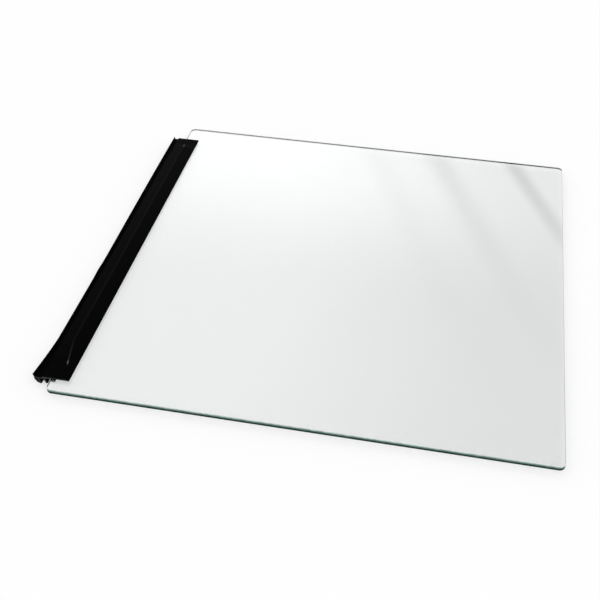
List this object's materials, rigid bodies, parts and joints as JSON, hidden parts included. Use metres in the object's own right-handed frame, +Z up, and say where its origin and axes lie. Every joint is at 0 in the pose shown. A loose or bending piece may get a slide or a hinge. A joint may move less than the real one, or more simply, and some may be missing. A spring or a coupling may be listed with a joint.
{
  "type": "glass shelf",
  "caption": "Toughened glass refrigerator shelf with rounded corners and a soft black edge seal gripping its left side, with a hollow bulb and a thin fin.",
  "frame": {"origin": "middle of the base of the whole part's box, at the height of the seal's lowest point", "axes": "+Z up through the pane's thickness, +Y towards the back edge, -X towards the side that carries the seal"},
  "size_m": [0.5084, 0.507, 0.0113],
  "materials": {
    "clear_glass": "clear toughened float glass with a green edge and ground arrises",
    "black_seal": "extruded soft black PVC with a low satin sheen"
  },
  "bodies": {
    "root": {"glass_pane": "clear_glass", "edge_seal": "black_seal"}
  },
  "joints": []
}
